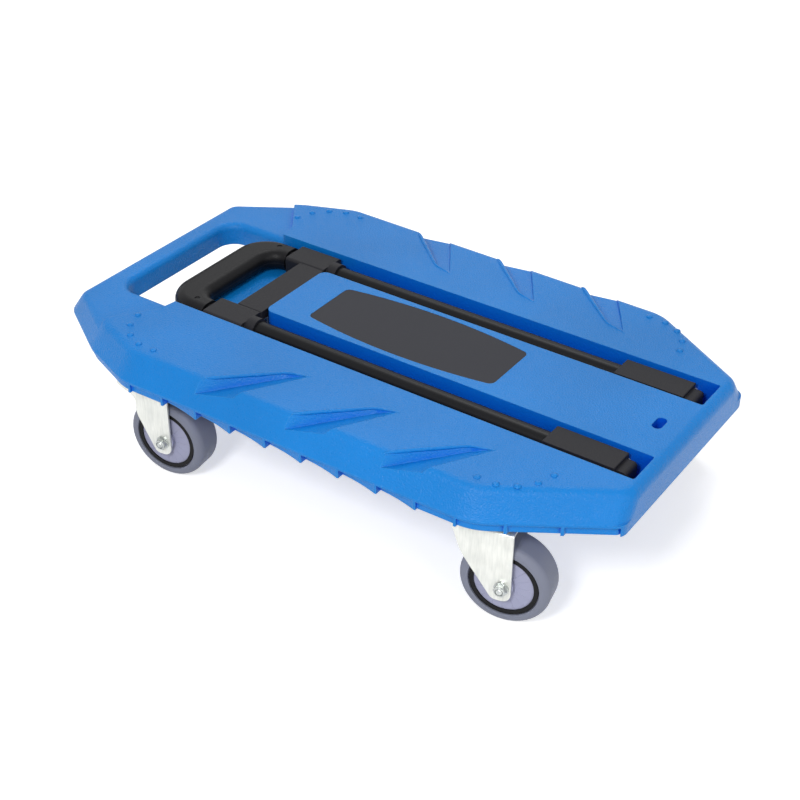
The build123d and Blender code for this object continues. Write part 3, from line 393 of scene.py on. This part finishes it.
# The darker tones of the bolts and nuts are painted dark reflection.
fastener_zinc_painted_reflection = zinc_material("zinc_fasteners_painted_reflection", (168, 172, 170), (216, 220, 218), 0.85, 0.0002)
print("zinc:", zinc.name, fastener_zinc_painted_reflection.name)

# %% [markdown]
# ## Giving each part its finish
# The parts are named for what they are, so the beginning of the name picks the finish. The
# first match counts, which is why the grip's pad and screws stand before the grip. What
# isn't in the list is a pressed or turned steel part with the pale zinc coat.

# %% Hand out the finishes
finish_by_name = [
    ("deck", finishes["deck_blue"]),
    ("label_plate", finishes["label_grey"]),
    ("outer_tube", finishes["tube_black"]),
    ("inner_tube", finishes["tube_black"]),
    ("handle_bridge", finishes["bridge_black"]),
    ("hinge_block", finishes["bridge_black"]),
    ("grip_pad", finishes["pad_rubber"]),
    # The grip screws take the black tube finish as painted shade for the deep dimples they sit in.
    ("grip_screws", finishes["tube_black"]),
    ("grip", finishes["grip_black"]),
    ("tyre", finishes["tyre_grey"]),
    ("hub", finishes["hub_lilac"]),
    ("guard_rings", finishes["ring_black"]),
    ("brake_pedal", finishes["ring_black"]),
    ("axle_bolt", fastener_zinc_painted_reflection),
    ("axle_nut", fastener_zinc_painted_reflection),
    ("caster_screws", fastener_zinc_painted_reflection),
    ("kingpins", fastener_zinc_painted_reflection),
]


def finish_for(name):
    """The finish of the first beginning that fits a part's name, or else the pale zinc."""
    return next((finish for beginning, finish in finish_by_name if name.startswith(beginning)), zinc)


for name, part in parts.items():
    part.data.materials.clear()
    part.data.materials.append(finish_for(name))
print("finishes given to", len(parts), "parts")

# %% [markdown]
# ## Building trim where the joints are
# The trim is made of small meshes. Some of it sits on wheels and pedals, which turn, so the
# joint list says where each axle is and which way it points. One helper turns a finished
# bmesh into a piece that rides on its body, and one makes a low bar whose top is narrower
# than its foot, for ribs of every kind.

# %% Helpers for the trim
joints = {joint["name"]: joint for joint in frame["record"]["behaviour"]["joints"]}
corners = ("carry_left", "carry_right", "hinge_left", "hinge_right")
up = Vector((0.0, 0.0, 1.0))


def joint_frame(name):
    """Place of a joint, its axis and the way forward across the axis."""
    axis = Vector(joints[name]["axis"]).normalized()
    return Vector(joints[name]["pos_m"]), axis, axis.cross(up).normalized()


def add_piece(name, shape, material, body, smooth=False):
    """Turn a bmesh into a piece with a finish that rides on a body."""
    bmesh.ops.recalc_face_normals(shape, faces=shape.faces)
    mesh = bpy.data.meshes.new(name)
    shape.to_mesh(mesh)
    shape.free()
    mesh.materials.append(material)
    for face in mesh.polygons:
        face.use_smooth = smooth
    piece = bpy.data.objects.new(name, mesh)
    bpy.context.scene.collection.objects.link(piece)
    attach(piece, body)
    return piece


def join_rings(shape, ring, following):
    """Put faces between two closed rings of as many vertices."""
    for number in range(len(ring)):
        after = (number + 1) % len(ring)
        shape.faces.new((ring[number], ring[after], following[after], following[number]))


def add_bar(shape, centre, along, across, out, sizes):
    """Add a low bar to a bmesh: length, foot width, top width, height and sunk depth in sizes."""
    length, foot, top, height, sunk = sizes
    rings = []
    for level, width, shrink in ((-sunk, foot, 0.0), (0.0, foot, 0.0), (height, top, (foot - top) / 2)):
        half = length / 2 - shrink
        ring = []
        for a, b in ((-half, -width / 2), (half, -width / 2), (half, width / 2), (-half, width / 2)):
            ring.append(shape.verts.new(centre + along * a + across * b + out * level))
        rings.append(ring)
    for lower, upper in zip(rings, rings[1:]):
        join_rings(shape, lower, upper)
    shape.faces.new(rings[0][::-1])
    shape.faces.new(rings[-1])


print("joints:", len(joints))

# %% [markdown]
# ## Ribs on the hubs
# Each hub is moulded with fine ribs that run from its boss to the dark ring, on both faces.
# They could be a bump texture, but real ribs keep their shape from every side. One bar is
# turned about the axle to make the ring of ribs.

# %% The ribs
rib_count = 16
rib_inner = 0.0135
rib_outer = 0.0335
rib_sizes = (rib_outer - rib_inner, 0.0010, 0.0005, 0.0003, 0.0003)
hub_face = 0.017
for corner in corners:
    point, axis, ahead = joint_frame("spin_" + corner)
    ribs = bmesh.new()
    for side in (-1, 1):
        for number in range(rib_count):
            angle = 2 * math.pi * number / rib_count
            along = ahead * math.cos(angle) + up * math.sin(angle)
            centre = point + axis * (side * hub_face) + along * ((rib_inner + rib_outer) / 2)
            add_bar(ribs, centre, along, along.cross(axis), axis * side, rib_sizes)
    add_piece("hub_ribs_" + corner, ribs, finishes["hub_lilac"], "wheel_" + corner)
print("ribs on each hub:", 2 * rib_count)

# %% [markdown]
# ## The locking collars of the nuts
# The axle nuts are lock nuts: above the hexagon there is a round crowned collar that holds
# a plastic insert. The collar is turned on a lathe, so it is made from its half outline,
# spun about the axle. The outline gives the distance along the axle and the radius.

# %% Spin the collars
collar_steps = 48
nut_seat = 0.0245
nut_height = 0.0065
collar_outline = [
    (-0.0005, 0.0046), (-0.0005, 0.0062), (0.0008, 0.0062),
    (0.0014, 0.0058), (0.0017, 0.0051), (0.0016, 0.0046),
]


def add_turned(shape, point, axis, side_way, outline):
    """Spin an outline about an axis."""
    third = axis.cross(side_way)
    rings = []
    for number in range(collar_steps):
        angle = 2 * math.pi * number / collar_steps
        spoke = side_way * math.cos(angle) + third * math.sin(angle)
        rings.append([shape.verts.new(point + axis * along + spoke * radius) for along, radius in outline])
    for number, ring in enumerate(rings):
        join_rings(shape, ring, rings[(number + 1) % collar_steps])


for corner in corners:
    point, axis, ahead = joint_frame("spin_" + corner)
    nut_low, nut_high = (Vector(value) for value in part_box("axle_nut_" + corner))
    nut_side = 1.0 if ((nut_low + nut_high) / 2 - point).dot(axis) > 0 else -1.0
    nut_top = point + axis * (nut_side * (nut_seat + nut_height))
    collar = bmesh.new()
    add_turned(collar, nut_top, axis * nut_side, ahead, collar_outline)
    add_piece("nut_collar_" + corner, collar, fastener_zinc_painted_reflection, "fork_" + corner)
print("collars:", len(corners))

# %% [markdown]
# ## Lips on the scoops
# Each of the six scoops in the deck has a rounded lip along its upper edge. It starts as
# a fine line at the scoop's tip, thickens and ends in a round nose where the deck's bevel
# begins. It is made as a tube whose radius changes along a path. The path lies on the deck:
# at each point a ray from above finds how high the surface is there. A ray gives back four
# things, and the second of them is the place that it hit.

# %% Helpers for the lips
ray_height = 0.3
ring_count = 14


def between(values, place):
    """Value at a place along a list, smoothly blended between neighbours."""
    first = min(int(place), len(values) - 2)
    share = place - first
    before, low = values[max(first - 1, 0)], values[first]
    high, after = values[first + 1], values[min(first + 2, len(values) - 1)]
    square = 2 * before - 5 * low + 4 * high - after
    cube = 3 * low - before - 3 * high + after
    return (2 * low + (high - before) * share + square * share**2 + cube * share**3) / 2


def surface_height(x, y):
    """Height of the deck's top straight below a point."""
    return parts["deck"].ray_cast(Vector((x, y, ray_height)), -up)[1].z


def add_tube(shape, points, radii):
    """Join rings round a path into a closed tube."""
    rings = []
    for number, (point, radius) in enumerate(zip(points, radii)):
        ahead = (points[min(number + 1, len(points) - 1)] - points[max(number - 1, 0)]).normalized()
        aside = ahead.cross(up).normalized()
        above = aside.cross(ahead)
        turns = [2 * math.pi * step / ring_count for step in range(ring_count)]
        ring = [point + (aside * math.cos(turn) + above * math.sin(turn)) * radius for turn in turns]
        rings.append([shape.verts.new(corner_point) for corner_point in ring])
    for ring, following in zip(rings, rings[1:]):
        join_rings(shape, ring, following)
    shape.faces.new(rings[0][::-1])
    shape.faces.new(rings[-1])


print("deck height at the middle:", round(surface_height(0.0, 0.0), 4))

# %% [markdown]
# ## Laying the lips
# The path is given once, from the tip: how far back and how far out each point lies. It is
# laid at three tips on each side of the deck, and the radius runs along with it. A small
# share of the radius is sunk into the deck, so no gap shows under the lip.

# %% The scoop lips
scoop_count = 3
first_tip = -0.015
scoop_pitch = 0.1235
lip_back = [0.0, -0.014, -0.0285, -0.0500, -0.0700, -0.0880, -0.0960]
lip_out = [0.1455, 0.1500, 0.1555, 0.1745, 0.1925, 0.2090, 0.2160]
lip_radii = [0.0004, 0.0012, 0.0018, 0.0023, 0.0024, 0.0024, 0.0004]
lip_steps = 8
lip_sunk = 0.15
lip_thinnest = 0.0003
high_side_shift = 0.0012

scoop_tips = [first_tip + scoop_pitch * number for number in range(scoop_count)]
lips = bmesh.new()
for side in (-1, 1):
    for tip in scoop_tips:
        points = []
        radii = []
        for step in range(lip_steps * (len(lip_back) - 1) + 1):
            progress = step / lip_steps
            x = tip + between(lip_back, progress)
            y = between(lip_out, progress)
            radius = max(lip_thinnest, between(lip_radii, progress))
            height = surface_height(x - high_side_shift, side * (y - high_side_shift))
            points.append(Vector((x, side * y, height - lip_sunk * radius)))
            radii.append(radius)
        add_tube(lips, points, radii)
add_piece("scoop_lips", lips, finishes["deck_blue"], "deck", smooth=True)

# %% [markdown]
# ## Crowns on the studs
# Five studs stand in an arc near each corner of the deck. A stud is a half egg with steep
# sides, which is what makes it catch the light on one side and stay dark on the other. The
# solid has a low dome in each place; a crown with the full round outline goes over it. It
# is built from rings that shrink as they rise, and closed with a fan at its peak. Each arc
# is given by its centre, its radius and the angle of its first stud.

# %% The stud crowns
stud_radius = 0.0043
stud_height = 0.0022
stud_sunk = 0.2
stud_count = 5
stud_step = 23.0
stud_sides = 20
ring_step = 12
deck_top = 0.179
stud_arcs = [(-0.2107, 0.1481, 0.0591, 79.0), (0.2487, 0.1413, 0.0558, 7.0)]
rises = [math.radians(rise) for rise in range(0, 90, ring_step)]
crown_outline = [(1.0, -stud_sunk)] + [(math.cos(rise), math.sin(rise)) for rise in rises]


def add_crown(shape, centre):
    """Add one half egg to a bmesh, its foot sunk a little below the centre."""
    rings = []
    for wide, high in crown_outline:
        ring = []
        for step in range(stud_sides):
            turn = 2 * math.pi * step / stud_sides
            spoke = Vector((math.cos(turn), math.sin(turn), 0.0)) * (stud_radius * wide)
            ring.append(shape.verts.new(centre + spoke + up * (stud_height * high)))
        rings.append(ring)
    for ring, above in zip(rings, rings[1:]):
        join_rings(shape, ring, above)
    shape.faces.new(rings[0][::-1])
    peak = shape.verts.new(centre + up * stud_height)
    for step in range(stud_sides):
        shape.faces.new((rings[-1][step], rings[-1][(step + 1) % stud_sides], peak))


crowns = bmesh.new()
for arc_x, arc_y, arc_radius, arc_start in stud_arcs:
    for number in range(stud_count):
        for side in (-1, 1):
            angle = math.radians(arc_start + stud_step * number)
            x = arc_x + arc_radius * math.cos(angle)
            y = arc_y + arc_radius * math.sin(angle)
            add_crown(crowns, Vector((x, side * y, deck_top)))
add_piece("stud_crowns", crowns, finishes["deck_blue"], "deck", smooth=True)
print("crowns:", 2 * stud_count * len(stud_arcs))

# %% [markdown]
# ## Grip ribs on the brake pedals
# A pedal is pressed with the toe of a shoe, so its end has a few cross ribs that stop the
# shoe from sliding off. They sit on the pedal's top face, which rises slightly outwards.

# %% The pedal ribs
pedal_rib_count = 5
pedal_rib_pitch = 0.0035
pedal_rib_reach = 0.0395
pedal_rib_sizes = (0.026, 0.0018, 0.0009, 0.0009, 0.0006)
pedal_top_rise = 0.0045
pedal_length = 0.041
pedal_end_rise = 0.003
pedal_slope = math.atan(pedal_end_rise / pedal_length)
for corner in corners[:2]:
    point, axis, ahead = joint_frame("brake_" + corner)
    outward = ahead if ahead.x > 0 else -ahead
    out = (up * math.cos(pedal_slope) - outward * math.sin(pedal_slope)).normalized()
    ribs = bmesh.new()
    for number in range(pedal_rib_count):
        reach = pedal_rib_reach - number * pedal_rib_pitch
        centre = point + outward * reach + up * (pedal_top_rise + reach * math.tan(pedal_slope))
        add_bar(ribs, centre, axis, outward, out, pedal_rib_sizes)
    add_piece("pedal_ribs_" + corner, ribs, finishes["ring_black"], "brake_" + corner)
print("pedal ribs:", pedal_rib_count)

# %% [markdown]
# ## Which rays see the white
# The photo is a cut-out on white. To show the object in the same way, the floor and the
# backdrop look white to the camera, and to rays that a shiny surface mirrors or lets
# through. All other rays meet them at a plain level, so the white costs no extra light on
# the object itself.

# %% The mask of white rays
def white_rays(tree):
    """Mask that is 1 for rays from the camera and for rays mirrored in or sent through a surface."""
    paths = add_node(tree, "ShaderNodeLightPath")
    first = add_node(tree, "ShaderNodeMath", operation="MAXIMUM")
    tree.links.new(paths.outputs["Is Camera Ray"], first.inputs[0])
    tree.links.new(paths.outputs["Is Glossy Ray"], first.inputs[1])
    both = add_node(tree, "ShaderNodeMath", operation="MAXIMUM")
    tree.links.new(first.outputs["Value"], both.inputs[0])
    tree.links.new(paths.outputs["Is Transmission Ray"], both.inputs[1])
    return both.outputs["Value"]


print("white rays: camera, glossy, transmission")

# %% [markdown]
# ## The floor
# A plain matt floor keeps a soft shadow, so the cart stands on something. Near the object
# it glows a little for the white rays, and away from the object it brightens to pure white,
# so it has no visible far edge from any side.

# %% Lay the floor
floor_half = 12.0
floor_grey = (0.85, 0.85, 0.85, 1.0)
white = (1.0, 1.0, 1.0, 1.0)
glow_near = 0.55
glow_far = 1.0
glow_starts = 0.8
glow_full = 2.4

floor_mesh = bpy.data.meshes.new("floor")
shape = bmesh.new()
bmesh.ops.create_grid(shape, x_segments=1, y_segments=1, size=floor_half)
shape.to_mesh(floor_mesh)
shape.free()
floor = bpy.data.objects.new("floor", floor_mesh)
bpy.context.scene.collection.objects.link(floor)
floor_white = bpy.data.materials.new("floor_white")
floor_white.use_nodes = True
tree = floor_white.node_tree
shader = tree.nodes["Principled BSDF"]
shader.inputs["Base Color"].default_value = floor_grey
shader.inputs["Roughness"].default_value = 1.0
shader.inputs["Specular IOR Level"].default_value = 0.0
coordinates = add_node(tree, "ShaderNodeTexCoord")
distance = add_node(tree, "ShaderNodeVectorMath", operation="LENGTH")
tree.links.new(coordinates.outputs["Object"], distance.inputs[0])
rise = add_node(tree, "ShaderNodeMapRange", interpolation_type="SMOOTHSTEP")
rise.inputs["From Min"].default_value = glow_starts
rise.inputs["From Max"].default_value = glow_full
rise.inputs["To Min"].default_value = glow_near
rise.inputs["To Max"].default_value = glow_far
tree.links.new(distance.outputs["Value"], rise.inputs["Value"])
seen = add_node(tree, "ShaderNodeMath", operation="MULTIPLY")
tree.links.new(rise.outputs["Result"], seen.inputs[1])
tree.links.new(white_rays(tree), seen.inputs[0])
tree.links.new(seen.outputs["Value"], shader.inputs["Emission Strength"])
shader.inputs["Emission Color"].default_value = white
floor_mesh.materials.append(floor_white)
print("floor:", floor.name)

# %% [markdown]
# ## The world
# The world is an even white all round, like a studio tent. It lights the object softly from
# every side, which keeps the hollows open, and it is the white backdrop of the picture.

# %% The world behind it
ambient_level = 0.42
backdrop_level = 1.0

world = bpy.data.worlds.new("studio")
world.use_nodes = True
bpy.context.scene.world = world
tree = world.node_tree
backdrop = tree.nodes["Background"]
backdrop.inputs["Color"].default_value = white
level = add_node(tree, "ShaderNodeMapRange")
level.inputs["To Min"].default_value = ambient_level
level.inputs["To Max"].default_value = backdrop_level
tree.links.new(white_rays(tree), level.inputs["Value"])
tree.links.new(level.outputs["Result"], backdrop.inputs["Strength"])
print("world:", world.name)

# %% [markdown]
# ## The lamps
# Three square soft lamps model the shapes. The key hangs before the cart and puts a soft
# highlight on the front bevel, the fill opens the right side, and the back lamp brings out
# the studs and the lips on the top. Each is given by its place, size and power, and turned
# towards the middle of the cart.

# %% Hang the lamps
middle = Vector((0.0, 0.0, 0.12))
lamp_rows = {
    "key": ((0.4, -2.0, 1.95), 0.6, 34.0),
    "fill": ((2.1, -1.0, 1.3), 0.9, 10.0),
    "back": ((-0.8, 1.3, 2.4), 1.0, 18.0),
}
for name, (lamp_place, size, power) in lamp_rows.items():
    data = bpy.data.lights.new(name, "AREA")
    data.size = size
    data.energy = power
    lamp = bpy.data.objects.new(name, data)
    lamp.location = lamp_place
    lamp.rotation_euler = (middle - Vector(lamp_place)).to_track_quat("-Z", "Y").to_euler()
    bpy.context.scene.collection.objects.link(lamp)
print("lamps:", len(lamp_rows))

# %% [markdown]
# ## The camera
# The camera stands where the photo was taken from: 34 degrees round from the front and 34
# degrees above the floor, with a lens long enough to keep the far end large. Its three
# directions are worked out from those angles and put into one matrix.

# %% Place the camera
azimuth = math.radians(34.265)
elevation = math.radians(34.193)
roll = math.radians(-0.513)
camera_place = Vector((0.86385, -1.25499, 1.10722))
lens_length = 66.9
sensor_width = 36.0

flat_share = math.cos(elevation)
forward = Vector((-math.sin(azimuth) * flat_share, math.cos(azimuth) * flat_share, -math.sin(elevation)))
level_right = Vector((math.cos(azimuth), math.sin(azimuth), 0.0))
level_down = forward.cross(level_right)
right = math.cos(roll) * level_right + math.sin(roll) * level_down
down = -math.sin(roll) * level_right + math.cos(roll) * level_down
camera_data = bpy.data.cameras.new("camera")
camera_data.lens = lens_length
camera_data.sensor_width = sensor_width
camera = bpy.data.objects.new("camera", camera_data)
camera_turn = Matrix((right, -down, -forward)).transposed()
camera.matrix_world = Matrix.Translation(camera_place) @ camera_turn.to_4x4()
bpy.context.scene.collection.objects.link(camera)
bpy.context.scene.camera = camera
bpy.context.scene.view_settings.view_transform = "Standard"
print("camera at", tuple(round(value, 3) for value in camera_place))
